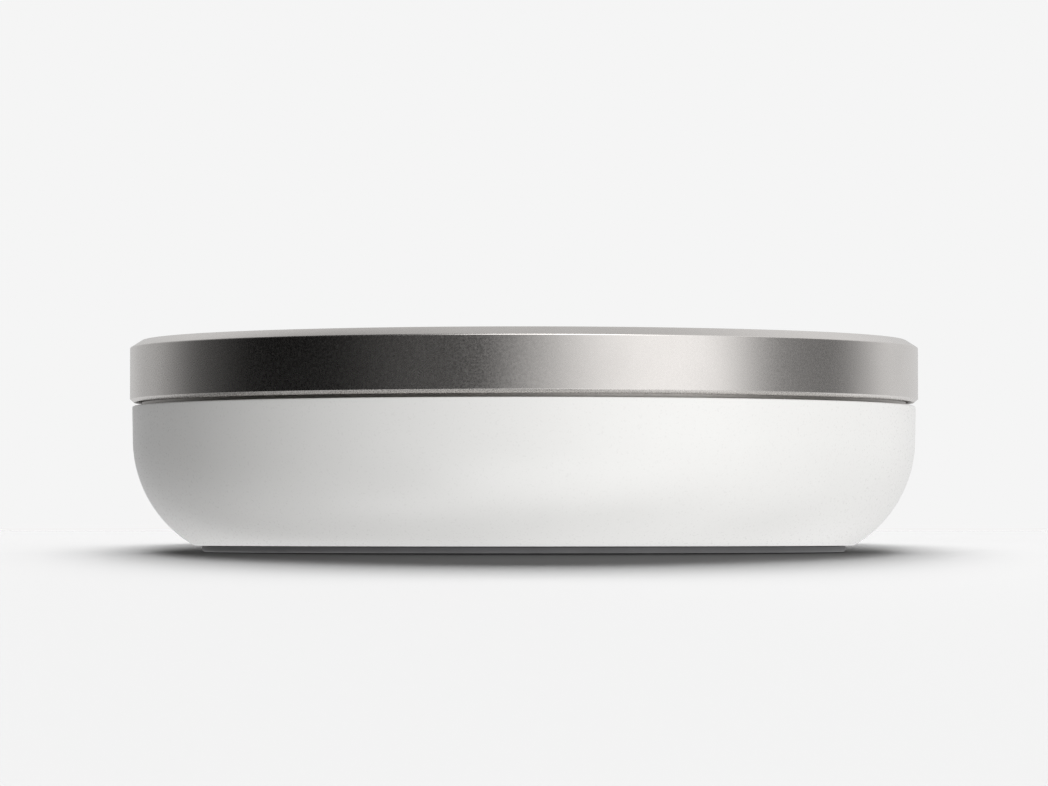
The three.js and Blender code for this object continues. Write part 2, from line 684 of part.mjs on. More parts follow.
function pairButton() {
  const cap = rearward(PAIR.radius, [PAIR_FLANGE_BACK, PORT_PLATE.front + PAIR.proud], { x: PAIR.x });
  const flangeDepth = [PAIR_FLANGE_BACK, PLATE_BACK - FIT_GAP];
  return cap.add(rearward(PAIR.radius + PAIR_FLANGE.width, flangeDepth, { x: PAIR.x }));
}

function pairPlunger() {
  const depth = [PAIR_SWITCH_FRONT - 1, PAIR_FLANGE_BACK - SEAT_GAP];
  return rearward(PAIR_PLUNGER_RADIUS, depth, { x: PAIR.x });
}

function pairSwitch() {
  const depth = [PAIR_SWITCH_FRONT - 3.6, PAIR_SWITCH_FRONT];
  const housing = block([PAIR.x - 3, PAIR.x + 3], depth, [ON_BOARD, PORT_CENTRE + 3]);
  const well = [PAIR_SWITCH_FRONT - 2, PAIR_SWITCH_FRONT + 1];
  return housing.subtract(rearward(PAIR_PLUNGER_RADIUS + FIT_GAP, well, { x: PAIR.x }));
}

// ---------------------------------------------------------------- screws

// A screw with a hexagonal recess, on the Z axis. Its head is up unless headDown is set.
function screw({ headRadius, headHeight, shankRadius, length, seat, headDown = false }) {
  const direction = headDown ? -1 : 1;
  const span = (from, to) => [seat + direction * from, seat + direction * to].sort((a, b) => a - b);
  const head = upright(headRadius, span(0, headHeight));
  const shank = upright(shankRadius, span(-length, 0.3), { facets: 10 });
  const recess = upright(headRadius * 0.5, span(headHeight * 0.4, headHeight + 1), { facets: 6 });
  return head.add(shank).subtract(recess);
}

const CASE_SCREW = {
  headRadius: 2.7,
  headHeight: 1.6,
  shankRadius: 1.45,
  length: 11,
  seat: CASE_SCREW_HOLE.counterboreTop - SEAT_GAP,
  headDown: true,
};
const BOARD_SCREW = {
  headRadius: 2.3,
  headHeight: 1.5,
  shankRadius: 1.1,
  length: 5,
  seat: ON_BOARD,
};
const KEY_SCREW = {
  headRadius: 2,
  headHeight: 1.2,
  shankRadius: 0.9,
  length: 3.2,
  seat: KEY_BOARD.top + SEAT_GAP,
};

// ---------------------------------------------------------------- materials

const FINISHES = {
  bowlPolymer: { color: '#eeeeea', roughness: 0.45, metalness: 0 },
  topPolymer: { color: '#e9e9e5', roughness: 0.4, metalness: 0 },
  keyPolymer: { color: '#dededa', roughness: 0.35, metalness: 0 },
  bandMetal: { color: '#b8b3ae', roughness: 0.34, metalness: 1 },
  neckMetal: { color: '#8f8b87', roughness: 0.4, metalness: 1 },
  footRubber: { color: '#4d4d50', roughness: 0.85, metalness: 0 },
  portPolymer: { color: '#2b2c2e', roughness: 0.6, metalness: 0 },
  framePolymer: { color: '#3a3b3d', roughness: 0.7, metalness: 0 },
  steel: { color: '#9b9c9e', roughness: 0.35, metalness: 1 },
  plated: { color: '#c9c8c4', roughness: 0.25, metalness: 1 },
  heatSinkMetal: { color: '#8d9093', roughness: 0.45, metalness: 1 },
  boardLaminate: { color: '#1f4a36', roughness: 0.55, metalness: 0 },
  blackPart: { color: '#1b1b1d', roughness: 0.5, metalness: 0 },
  padSilicone: { color: '#9fb0bd', roughness: 0.9, metalness: 0 },
  clearPolymer: { color: '#f2f4f2', roughness: 0.15, metalness: 0 },
  flexFilm: { color: '#a8642c', roughness: 0.5, metalness: 0 },
  leadJacket: { color: '#3b3b3e', roughness: 0.6, metalness: 0 },
};

// ---------------------------------------------------------------- the assembly

const player = new THREE.Group();
player.name = 'streaming_media_player';

function addPiece(group, name, solid, finishName, { x = 0, y = 0 } = {}) {
  const material = new THREE.MeshStandardMaterial(FINISHES[finishName]);
  const piece = new THREE.Mesh(toGeometry(solid), material);
  piece.name = name;
  piece.position.set(x, y, 0);
  group.add(piece);
}

function addGroup(name) {
  const group = new THREE.Group();
  group.name = name;
  player.add(group);
  return group;
}

const casing = addGroup('casing');
addPiece(casing, 'lower_bowl', lowerBowl(), 'bowlPolymer');
addPiece(casing, 'rubber_foot', rubberFoot(), 'footRubber');
addPiece(casing, 'trim_ring', trimRing(), 'bandMetal');
addPiece(casing, 'neck_ring', neckRing(), 'neckMetal');
addPiece(casing, 'top_plate', topPlate(), 'topPolymer');
addPiece(casing, 'inner_frame', innerFrame(), 'framePolymer');
addPiece(casing, 'ballast_plate', ballastPlate(), 'steel');
addPiece(casing, 'port_tunnel', portTunnel(), 'bowlPolymer');
addPiece(casing, 'port_plate', portPlate(), 'portPolymer');

const keyDeck = addGroup('key_deck');
addPiece(keyDeck, 'key_board', keyBoard(), 'boardLaminate');
for (const key of KEYS) {
  const place = { x: key.x };
  addPiece(keyDeck, `${key.name}_key`, keyCap(key), 'keyPolymer', place);
  addPiece(keyDeck, `${key.name}_plunger`, keyPlunger(), 'blackPart', place);
  addPiece(keyDeck, `${key.name}_switch`, keySwitch(), 'plated', place);
}
addPiece(keyDeck, 'status_led', statusLed(), 'clearPolymer', { y: LIGHT.y });
addPiece(keyDeck, 'light_pipe', lightPipe(), 'clearPolymer', { y: LIGHT.y });
addPiece(keyDeck, 'key_flex', keyFlex(), 'flexFilm');

const electronics = addGroup('electronics');
addPiece(electronics, 'main_board', mainBoard(), 'boardLaminate');
addPiece(electronics, 'processor_shield', shieldCan(PROCESSOR_SHIELD), 'plated');
addPiece(electronics, 'thermal_pad', thermalPad(), 'padSilicone');
addPiece(electronics, 'heat_sink', heatSink(), 'heatSinkMetal');
addPiece(electronics, 'radio_shield', shieldCan(RADIO_SHIELD), 'plated');
addPiece(electronics, 'power_inductor', powerInductor(), 'blackPart');
CAPACITOR.places.forEach((place, index) => {
  addPiece(electronics, `capacitor_${index + 1}`, capacitor(), 'blackPart', place);
});
for (const aerial of ANTENNAS) {
  addPiece(electronics, `antenna_${aerial.name}`, antenna(aerial), 'flexFilm');
  addPiece(electronics, `antenna_lead_${aerial.name}`, antennaLead(aerial), 'leadJacket');
}

const sockets = addGroup('sockets');
addPiece(sockets, 'power_socket', powerSocket(), 'plated');
addPiece(sockets, 'power_tongue', powerTongue(), 'blackPart');
addPiece(sockets, 'video_socket', videoSocket(), 'plated');
addPiece(sockets, 'video_tongue', videoTongue(), 'blackPart');
addPiece(sockets, 'network_socket', networkSocket(), 'blackPart');
addPiece(sockets, 'audio_jack', audioJack(), 'blackPart');
addPiece(sockets, 'pair_button', pairButton(), 'keyPolymer');
addPiece(sockets, 'pair_plunger', pairPlunger(), 'plated');
addPiece(sockets, 'pair_switch', pairSwitch(), 'blackPart');

const fasteners = addGroup('fasteners');
placesOnCircle(POST).forEach((place, index) => {
  addPiece(fasteners, `case_screw_${index + 1}`, screw(CASE_SCREW), 'steel', place);
});
placesOnCircle(BOARD_BOSS).forEach((place, index) => {
  addPiece(fasteners, `board_screw_${index + 1}`, screw(BOARD_SCREW), 'steel', place);
});
KEY_BOARD_SCREWS.forEach((place, index) => {
  addPiece(fasteners, `key_screw_${index + 1}`, screw(KEY_SCREW), 'steel', place);
});

export default player;
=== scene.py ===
"""Looks for the streaming media player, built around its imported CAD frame.

The player is a white polymer bowl on a rubber foot, under a bead-blasted metal band. Every visible
shell is remade here as a fine turned or lofted mesh on the same lines as its CAD node.
Sizes are in millimetres until a mesh is made; Blender's own units are metres.
"""

import json
import math

import bmesh
import bpy
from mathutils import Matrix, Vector


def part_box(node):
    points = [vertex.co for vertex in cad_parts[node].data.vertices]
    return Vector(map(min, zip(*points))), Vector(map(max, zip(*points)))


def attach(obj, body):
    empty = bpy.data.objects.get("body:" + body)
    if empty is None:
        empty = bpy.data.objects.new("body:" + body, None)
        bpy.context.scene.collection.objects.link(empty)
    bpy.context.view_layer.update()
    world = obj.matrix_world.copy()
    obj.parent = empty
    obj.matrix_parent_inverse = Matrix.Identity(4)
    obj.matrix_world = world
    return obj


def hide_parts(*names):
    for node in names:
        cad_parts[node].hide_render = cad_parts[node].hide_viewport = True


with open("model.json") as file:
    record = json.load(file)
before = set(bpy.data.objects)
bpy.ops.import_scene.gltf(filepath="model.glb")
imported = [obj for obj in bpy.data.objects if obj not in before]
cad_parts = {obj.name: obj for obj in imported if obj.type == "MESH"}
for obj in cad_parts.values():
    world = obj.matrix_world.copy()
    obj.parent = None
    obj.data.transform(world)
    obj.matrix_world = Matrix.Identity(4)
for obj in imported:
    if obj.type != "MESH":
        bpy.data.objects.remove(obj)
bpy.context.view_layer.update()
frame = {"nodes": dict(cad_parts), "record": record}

MM = 0.001


def box_mm(node):
    """Lowest and highest corner of a CAD node, in millimetres."""
    low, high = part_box(node)
    return low / MM, high / MM


# ------------------------------------------------------------ driving dimensions, from the frame

band_low, band_high = box_mm("trim_ring")
bowl_low, bowl_high = box_mm("lower_bowl")
foot_low, foot_high = box_mm("rubber_foot")
neck_low, neck_high = box_mm("neck_ring")
plate_low, plate_high = box_mm("top_plate")
pipe_low, pipe_high = box_mm("light_pipe")
port_plate_low, port_plate_high = box_mm("port_plate")
board_low = box_mm("main_board")[0]

BAND_RADIUS = band_high.x
BAND_WALL = 1.75
BAND_BEVEL = (0.7, 0.6)
BAND_CHAMFER = (2.05, 1.3)
BAND_LAND = 1.05
LEDGE_RADIUS = 62.0
LEDGE_TOP = band_high.z - 3.35
LEDGE_THICKNESS = 1.6

RIM_RADIUS = bowl_high.x
BOWL_WALL = 2.2
SWEEP_RADIUS = 21.15
SWEEP_TOP = bowl_high.z - 6.0
DRAFT = math.radians(0.95)
RIM_LIP = (1.35, 0.6)
BOWL_FLOOR_TOP = bowl_low.z + BOWL_WALL

POST_CIRCLE = 50
POST_ANGLES = (45, 135, 225, 315)
POST_PAD_RADIUS = 4.5
POST_PAD_TOP = BOWL_FLOOR_TOP + 2
BOSS_CIRCLE = 51
BOSS_ANGLES = (0, 180, 245, 295)
BOSS_RADIUS = 2.6
COUNTERBORE_RADIUS = 3.2
SCREW_HOLE_RADIUS = 1.8
SCREW_ACCESS_RADIUS = 3.4
COUNTERBORE_BELOW_FLOOR = 0.2
PILOT_RADIUS = 1.4
PILOT_ABOVE_FLOOR = 1
SCREW_HEAD_HEIGHT = 1.6
SCREW_SHANK_RADIUS = 1.45
SCREW_DRIVE = {"radius": 1.3, "depth": 1.0}

NECK_WALL = 1.95

GROOVE_CIRCLES = (20, 30, 40)
GROOVE_HALF_WIDTH = 0.5
GROOVE_DEPTH = 0.3
GROOVE_SLOPE = 0.1

PLATE_RADIUS = plate_high.x
PLATE_DISH = 0.6
PLATE_CENTRE = plate_high.z - PLATE_DISH

KEY_DISH = 0.35
KEY_EDGE = 0.6
KEY_FLANGE = {"width": 1.0, "thickness": 1.0, "below_top": 2.6}
SYMBOL_BELOW_TOP = 0.22
SYMBOL_ROOT = 0.3
KEY_STEM_RADIUS = 2.5
KEYS = {
    "play": {"x": 0, "radius": 11},
    "volume_down": {"x": -30, "radius": 6.5},
    "volume_up": {"x": 30, "radius": 6.5},
}
LIGHT_Y = -20
LIGHT_RADIUS = 1
LIGHT_FLANGE = {"width": 1, "thickness": 0.8}

RECESS_HALF_WIDTH = 34.8
RECESS_LOW = 10.0
RECESS_HIGH = 21.4
RECESS_CORNER = 1.8
RECESS_WALL = 1.2
RECESS_FLARE = 0.35

SEAT_GAP = 0.1
FIT_GAP = 0.3
# How far a cutter runs past what it cuts, and a raised pad into what it stands on.
OVERCUT = 1

# Steps round each turned mesh, and the radius below which a point is on the axis.
BAND_SEGMENTS = 512
SHELL_SEGMENTS = 384
KEY_SEGMENTS = 128
SMALL_SEGMENTS = 48
ON_AXIS = 1e-6


# ------------------------------------------------------------ outlines

def rounded(corners, closed=True, steps=6):
    """Outline points from (radius, height, fillet) corners, each fillet drawn as an arc."""
    points = []
    count = len(corners)
    for index, (r, z, fillet) in enumerate(corners):
        at_end = not closed and index in (0, count - 1)
        if fillet == 0 or at_end:
            points.append((r, z))
            continue
        here = Vector((r, z))
        before = (Vector(corners[index - 1][:2]) - here).normalized()
        after = (Vector(corners[(index + 1) % count][:2]) - here).normalized()
        half = math.acos(max(-1, min(1, before.dot(after)))) / 2
        reach = fillet / math.tan(half)
        centre = here + (before + after).normalized() * fillet / math.sin(half)
        start = here + before * reach - centre
        end = here + after * reach - centre
        turn = start.angle_signed(end)
        for step in range(steps + 1):
            angle = -turn * step / steps
            arm = Vector((
                start.x * math.cos(angle) - start.y * math.sin(angle),
                start.x * math.sin(angle) + start.y * math.cos(angle),
            ))
            points.append(tuple(centre + arm))
    return points


def arc(centre, radius, start, end, steps):
    """Points along an arc in the turning plane; angles in radians."""
    angles = [start + (end - start) * step / steps for step in range(steps + 1)]
    return [(centre[0] + radius * math.cos(a), centre[1] + radius * math.sin(a)) for a in angles]


def dish(radius, edge_height, depth, steps=12):
    """Points of a shallow dish, from its edge in to the axis."""
    shares = [1 - step / steps for step in range(steps + 1)]
    return [(radius * share, edge_height - depth * (1 - share ** 2)) for share in shares]


def cylinder(radius, bottom, top):
    """Outline of a plain cylinder."""
    return [(0, bottom), (radius, bottom), (radius, top), (0, top)]


def on_circle(radius, angles):
    """Places on a circle about the axis, at angles in degrees."""
    turns = [math.radians(angle) for angle in angles]
    return [(radius * math.cos(turn), radius * math.sin(turn)) for turn in turns]


# ------------------------------------------------------------ mesh making

def turned(outline, segments=SHELL_SEGMENTS, centre=(0, 0), into=None):
    """A bmesh turned about Z from an outline; ends on the axis are closed with a fan."""
    bm = into or bmesh.new()
    rings = []
    for radius, height in outline:
        if radius < ON_AXIS:
            rings.append([bm.verts.new((centre[0], centre[1], height))])
            continue
        ring = []
        for index in range(segments):
            angle = 2 * math.pi * index / segments
            x = centre[0] + radius * math.cos(angle)
            y = centre[1] + radius * math.sin(angle)
            ring.append(bm.verts.new((x, y, height)))
        rings.append(ring)
    pairs = list(zip(rings, rings[1:]))
    if len(rings[0]) > 1:
        pairs.append((rings[-1], rings[0]))
    for lower, upper in pairs:
        for index in range(segments):
            after = (index + 1) % segments
            corners = [lower[index % len(lower)], lower[after % len(lower)],
                       upper[after % len(upper)], upper[index % len(upper)]]
            unique = list(dict.fromkeys(corners))
            if len(unique) > 2:
                bm.faces.new(unique)
    return bm


def turned_at(outline, places, into=None):
    """The same small turned shape at several (x, y) places, in one bmesh."""
    bm = into or bmesh.new()
    for place in places:
        turned(outline, SMALL_SEGMENTS, place, bm)
    return bm


def loft(loops, ring=False, into=None):
    """A bmesh skinned over loops of (x, y, z) points: closed on itself, or capped at both ends."""
    bm = into or bmesh.new()
    rows = [[bm.verts.new(point) for point in loop] for loop in loops]
    pairs = list(zip(rows, rows[1:]))
    if ring:
        pairs.append((rows[-1], rows[0]))
    else:
        bm.faces.new(rows[0])
        bm.faces.new(rows[-1])
    for near, far in pairs:
        for index in range(len(near)):
            after = (index + 1) % len(near)
            bm.faces.new([near[index], near[after], far[after], far[index]])
    return bm


def add_object(name, bm):
    """A new object from a bmesh in millimetres."""
    bmesh.ops.scale(bm, vec=(MM, MM, MM), verts=bm.verts)
    bmesh.ops.recalc_face_normals(bm, faces=bm.faces)
    mesh = bpy.data.meshes.new(name)
    bm.to_mesh(mesh)
    bm.free()
    piece = bpy.data.objects.new(name, mesh)
    bpy.context.scene.collection.objects.link(piece)
    return piece


def smooth(piece, angle=35):
    """Smooth shading, with edges sharper than the angle kept crisp."""
    piece.data.shade_smooth()
    piece.data.set_sharp_from_angle(angle=math.radians(angle))


def bake_modifiers(piece):
    """Turns the piece's modifiers into its mesh."""
    bpy.context.view_layer.update()
    graph = bpy.context.evaluated_depsgraph_get()
    mesh = bpy.data.meshes.new_from_object(piece.evaluated_get(graph))
    piece.modifiers.clear()
    piece.data = mesh


def combine(piece, operation, bm):
    """Joins a bmesh's solids to the piece, or cuts them out of it."""
    tool = add_object("tool", bm)
    modifier = piece.modifiers.new("combine", "BOOLEAN")
    modifier.operation = operation
    modifier.solver = "EXACT"
    modifier.object = tool
    bake_modifiers(piece)
    bpy.data.objects.remove(tool)


# ------------------------------------------------------------ node trees

class Tree:
    """Short calls for adding and joining the nodes of one tree."""

    def __init__(self, tree):
        """Takes over the tree and empties it."""
        self.tree = tree
        self.tree.nodes.clear()

    def add(self, kind, inputs, **settings):
        """Adds a node, with each input set to a value or joined to another node's output."""
        node = self.tree.nodes.new(kind)
        for name, value in settings.items():
            setattr(node, name, value)
        for socket, value in inputs.items():
            if isinstance(value, bpy.types.NodeSocket):
                self.tree.links.new(value, node.inputs[socket])
            else:
                node.inputs[socket].default_value = value
        return node.outputs

    def math(self, operation, *values):
        """One step of arithmetic on values or outputs."""
        return self.add("ShaderNodeMath", dict(enumerate(values)), operation=operation)[0]

    def span(self, value, low, high, to_low, to_high, smoothly=False):
        """The value's share of low to high, laid out over to_low to to_high."""
        inputs = {"Value": value, "From Min": low, "From Max": high, "To Min": to_low, "To Max": to_high}
        kind = "SMOOTHSTEP" if smoothly else "LINEAR"
        return self.add("ShaderNodeMapRange", inputs, interpolation_type=kind)["Result"]

    def noise(self, place, cell, detail):
        """Noise whose features are about `cell` millimetres across."""
        inputs = {"Vector": place, "Scale": 1 / (cell * MM), "Detail": detail}
        return self.add("ShaderNodeTexNoise", inputs)["Fac"]


# Noise mostly stays inside this span; cells are in millimetres.
NOISE_LOW = 0.3
NOISE_HIGH = 0.7
MOTTLE_CELL = 9.0
SPARKLE_CELL = 0.8
BUMP_HEIGHT = 0.1
GLOSS_SPREAD = 0.04


def shade(colour, amount):
    """The colour made lighter or darker by a share."""
    return (*(min(1, channel * (1 + amount)) for channel in colour), 1)


def finish(name, colour, roughness, metallic=0.0, mottle=0.03, grain=0.3, relief=0.2, sparkle=0.0,
           streak=None, specular=0.5, transmission=0.0):
    """A procedural finish: fine relief and gloss grain, over slow mottling of the colour.

    grain is the size of the relief's cells in millimetres, relief its strength, and sparkle how far
    single grains stray from the colour. streak stretches the mottling along one axis.
    The sparkle's cells and the relief's height are shares of the grain.
    """
    material = bpy.data.materials.new(name)
    material.use_nodes = True
    tree = Tree(material.node_tree)
    place = tree.add("ShaderNodeTexCoord", {})["Object"]
    slow_place = place
    if streak:
        slow_place = tree.add("ShaderNodeMapping", {"Vector": place, "Scale": streak})["Vector"]
    slow = tree.noise(slow_place, MOTTLE_CELL, 4.0)
    fine = tree.noise(place, grain, 3.0)
    tone = tree.span(slow, NOISE_LOW, NOISE_HIGH, 0.0, 1.0)
    if sparkle:
        specks = tree.noise(place, grain * SPARKLE_CELL, 0.0)
        glint = tree.span(specks, NOISE_LOW, NOISE_HIGH, -sparkle, sparkle)
        tone = tree.math("ADD", tone, glint)
    mixed = tree.add("ShaderNodeMix", {
        "Factor": tone,
        "A": shade(colour, -mottle),
        "B": shade(colour, mottle),
    }, data_type="RGBA", clamp_factor=False)
    gloss = tree.span(fine, NOISE_LOW, NOISE_HIGH, roughness - GLOSS_SPREAD, roughness + GLOSS_SPREAD)
    bumps = tree.add("ShaderNodeBump", {
        "Strength": relief,
        "Distance": grain * BUMP_HEIGHT * MM,
        "Height": fine,
    })["Normal"]
    shader = tree.add("ShaderNodeBsdfPrincipled", {
        "Base Color": mixed["Result"],
        "Metallic": metallic,
        "Roughness": gloss,
        "Specular IOR Level": specular,
        "Transmission Weight": transmission,
        "Normal": bumps,
    })[0]
    tree.add("ShaderNodeOutputMaterial", {"Surface": shader})
    return material


FINISHES = {
    "band_aluminium": finish("band_aluminium", (0.665, 0.64, 0.62), 0.27, metallic=1.0, mottle=0.025,
                             grain=0.3, relief=0.04, sparkle=0.35),
    "neck_aluminium": finish("neck_aluminium", (0.46, 0.44, 0.42), 0.4, metallic=1.0, grain=0.3),
    "white_polymer": finish("white_polymer", (0.878, 0.874, 0.858), 0.3, mottle=0.006, grain=0.35,
                            relief=0.04),
    "top_polymer": finish("top_polymer", (0.84, 0.835, 0.815), 0.4, mottle=0.008, grain=0.3),
    "key_polymer": finish("key_polymer", (0.75, 0.745, 0.73), 0.36, mottle=0.01, grain=0.25),
    "foot_rubber": finish("foot_rubber", (0.1, 0.1, 0.103), 0.7, mottle=0.08, grain=0.4, relief=0.5),
    "port_polymer": finish("port_polymer", (0.045, 0.046, 0.05), 0.5, mottle=0.08, grain=0.3,
                           relief=0.35),
    "frame_polymer": finish("frame_polymer", (0.08, 0.08, 0.085), 0.5, mottle=0.08, grain=0.4),
    "steel": finish("steel", (0.56, 0.55, 0.53), 0.3, metallic=1.0, mottle=0.05, grain=0.5),
    "plated_steel": finish("plated_steel", (0.62, 0.62, 0.6), 0.25, metallic=1.0, mottle=0.05,
                           grain=0.4, streak=(1, 6, 1)),
    "heat_sink_aluminium": finish("heat_sink_aluminium", (0.6, 0.6, 0.6), 0.4, metallic=1.0,
                                  mottle=0.06, grain=0.4, streak=(6, 1, 1)),
    "board_laminate": finish("board_laminate", (0.02, 0.09, 0.05), 0.4, mottle=0.35, grain=0.6,
                             streak=(8, 1, 1)),
    "switch_plastic": finish("switch_plastic", (0.05, 0.05, 0.055), 0.45, mottle=0.1, grain=0.3),
    "pad_silicone": finish("pad_silicone", (0.42, 0.5, 0.56), 0.75, mottle=0.06, grain=0.6),
    "clear_polymer": finish("clear_polymer", (0.82, 0.85, 0.86), 0.2, mottle=0.03, grain=0.4,
                            relief=0.1, transmission=0.6),
    "flex_film": finish("flex_film", (0.42, 0.2, 0.05), 0.35, mottle=0.12, grain=0.5,
                        streak=(10, 1, 1)),
    "lead_jacket": finish("lead_jacket", (0.06, 0.06, 0.065), 0.5, mottle=0.1, grain=0.3),
    "symbol_ink": finish("symbol_ink", (0.2, 0.2, 0.205), 0.45, mottle=0.05, grain=0.2),
}


def paint(piece, name):
    """Gives the piece one finish."""
    piece.data.materials.clear()
    piece.data.materials.append(FINISHES[name])


def place_piece(piece, body, slot, finish_name=None, nodes=()):
    """Paints a finished piece with the finish named by its slot, hangs it on its body's empty and hides
    the CAD nodes it replaces.
    """
    paint(piece, finish_name or slot)
    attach(piece, body)
    if nodes:
        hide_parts(*nodes)


# ------------------------------------------------------------ camera

# A long lens from just above table height, pitched slightly up.
SENSOR = 36
LENS = 171.76
CAMERA_DISTANCE = 865.3
CAMERA_HEIGHT = 3.83
CAMERA_PITCH = math.radians(1.565)


def add_camera():
    """The camera, looking along +Y at the middle of the object's front."""
    data = bpy.data.cameras.new("camera")
    data.sensor_width = SENSOR
    data.lens = LENS
    data.clip_start = 0.01
    data.clip_end = 50
    camera = bpy.data.objects.new("camera", data)
    camera.location = (0, -CAMERA_DISTANCE * MM, CAMERA_HEIGHT * MM)
    camera.rotation_euler = (math.pi / 2 + CAMERA_PITCH, 0, 0)
    bpy.context.scene.collection.objects.link(camera)
    bpy.context.scene.camera = camera


# ------------------------------------------------------------ studio

BACKDROP = 0.913

# Soft boxes round the set. Azimuth 0 is the camera's side and 90 the right; angles in degrees.
# Each box is (azimuth, elevation, half width, half height, edge softness, radiance).
SOFT_BOXES = {
    "key": (43, 5, 23, 35, 15, 1.62),
    "key_left_edge": (10, 5, 12, 35, 12, 0.7),
    "key_right_edge": (84, 5, 14, 35, 12, 0.27),
    "front_glow": (-30, 5, 14, 35, 15, 0.07),
    "back_right": (132, 5, 20, 35, 20, 1.05),
    "back": (178, 5, 26, 35, 15, 0.88),
    "back_left": (-140, 5, 18, 35, 16, 0.68),
    "left": (-110, 5, 14, 35, 12, 0.1),
    "upper_front": (11, 52, 32, 20, 15, 3.6),
    "upper_left": (-90, 55, 40, 20, 15, 0.05),
    "upper_right": (85, 55, 36, 20, 15, 1.2),
    "upper_back": (167, 55, 46, 20, 15, 0.84),
    "overhead": (0, 90, 180, 20, 10, 0.4),
    "low_front": (10, -45, 34, 20, 12, 2.5),
    "low_left": (-90, -43, 35, 16, 12, 0.85),
    "low_right": (80, -43, 35, 18, 12, 1.0),
    "low_back": (172, -43, 40, 18, 12, 1.1),
    "under_left": (-55, -60, 30, 10, 8, 1.8),
    "under_right": (134, -70, 45, 12, 10, 1.5),
}


def add_world():
    """Soft boxes painted on the sky, with a plain pale backdrop where the camera looks past."""
    world = bpy.data.worlds.new("studio")
    world.use_nodes = True
    tree = Tree(world.node_tree)
    direction = tree.add("ShaderNodeTexCoord", {})["Generated"]
    x, y, z = tree.add("ShaderNodeSeparateXYZ", {"Vector": direction})
    azimuth = tree.math("DEGREES", tree.math("ARCTAN2", x, tree.math("MULTIPLY", y, -1.0)))
    elevation = tree.math("DEGREES", tree.math("ARCSINE", z))

    def window(angle, half, softness):
        """1 within the half width of an angle, fading to 0 past it."""
        return tree.span(tree.math("ABSOLUTE", angle), half - softness, half + softness, 1.0, 0.0, True)

    total = 0.0
    for across, height, half_width, half_height, softness, radiance in SOFT_BOXES.values():
        aside = tree.math("WRAP", tree.math("SUBTRACT", azimuth, across), 180.0, -180.0)
        above = tree.math("SUBTRACT", elevation, height)
        glow = window(above, half_height, softness)
        if half_width < 180:
            glow = tree.math("MULTIPLY", glow, window(aside, half_width, softness))
        total = tree.math("MULTIPLY_ADD", glow, radiance, total)
    lit = tree.add("ShaderNodeBackground", {"Strength": total})[0]
    seen = tree.add("ShaderNodeBackground", {"Color": (BACKDROP, BACKDROP, BACKDROP, 1)})[0]
    to_camera = tree.add("ShaderNodeLightPath", {})["Is Camera Ray"]
    mixed = tree.add("ShaderNodeMixShader", {0: to_camera, 1: lit, 2: seen})[0]
    tree.add("ShaderNodeOutputWorld", {"Surface": mixed})
    bpy.context.scene.world = world


# The floor is level out to FLOOR_FLAT_RADIUS. In front it falls by FLOOR_FALL for each millimetre, once
# past its ease; behind the left and right it rises to FLOOR_RISE within FLOOR_RISE_RUN.
FLOOR_RADIUS = 30000
FLOOR_FLAT_RADIUS = 53
FLOOR_CLEARANCE = 0.05
FLOOR_FALL = 0.215
FLOOR_FALL_EASE = 3
FLOOR_SIDE_EASE = 0.1
FLOOR_RISE = 1.5
FLOOR_RISE_RUN = 14
FLOOR_SEGMENTS = 256
FLOOR_RING_GROWTH = 1.12
FLOOR_LIGHT = 6.9
FLOOR_LIGHT_ANGLE = 26
FLOOR_LIGHT_LEAN = 3
# Sideways lean in degrees, and share, of each light in the overhead strip.
FLOOR_LIGHT_STRIP = {-22: 0.1, -11: 0.21, 0: 0.38, 11: 0.21, 22: 0.1}
FLOOR_COLOUR = (0.12, 0.12, 0.12, 1)


def floor_height(radius, angle):
    """The floor is level under the object, rises a little behind its sides and falls away in front."""
    if radius <= FLOOR_FLAT_RADIUS:
        return -FLOOR_CLEARANCE
    run = radius - FLOOR_FLAT_RADIUS
    back = math.sin(angle)
    if back >= 0:
        rise = FLOOR_RISE * abs(math.sin(2 * angle)) * min(1, (run / FLOOR_RISE_RUN) ** 2)
        return rise - FLOOR_CLEARANCE
    forward = back ** 2 / (abs(back) + FLOOR_SIDE_EASE)
    return -FLOOR_FALL * run * run / (run + FLOOR_FALL_EASE) * forward - FLOOR_CLEARANCE


def floor_mesh():
    """A round bmesh of the floor, with rings that grow further apart outwards."""
    radii = [25, 50]
    radius = FLOOR_FLAT_RADIUS
    while radius < FLOOR_RADIUS:
        radii.append(radius)
        radius = FLOOR_FLAT_RADIUS + (radius - FLOOR_FLAT_RADIUS + 2) * FLOOR_RING_GROWTH
    radii.append(FLOOR_RADIUS)

    bm = bmesh.new()
    turns = [2 * math.pi * index / FLOOR_SEGMENTS for index in range(FLOOR_SEGMENTS)]
    rows = [[bm.verts.new((0, 0, -FLOOR_CLEARANCE))] * FLOOR_SEGMENTS]
    for radius in radii:
        rows.append([
            bm.verts.new((radius * math.cos(turn), radius * math.sin(turn), floor_height(radius, turn)))
            for turn in turns
        ])
    for near, far in zip(rows, rows[1:]):
        for index in range(FLOOR_SEGMENTS):
            after = (index + 1) % FLOOR_SEGMENTS
            corners = [near[index], far[index], far[after], near[after]]
            bm.faces.new(list(dict.fromkeys(corners)))
    return bm


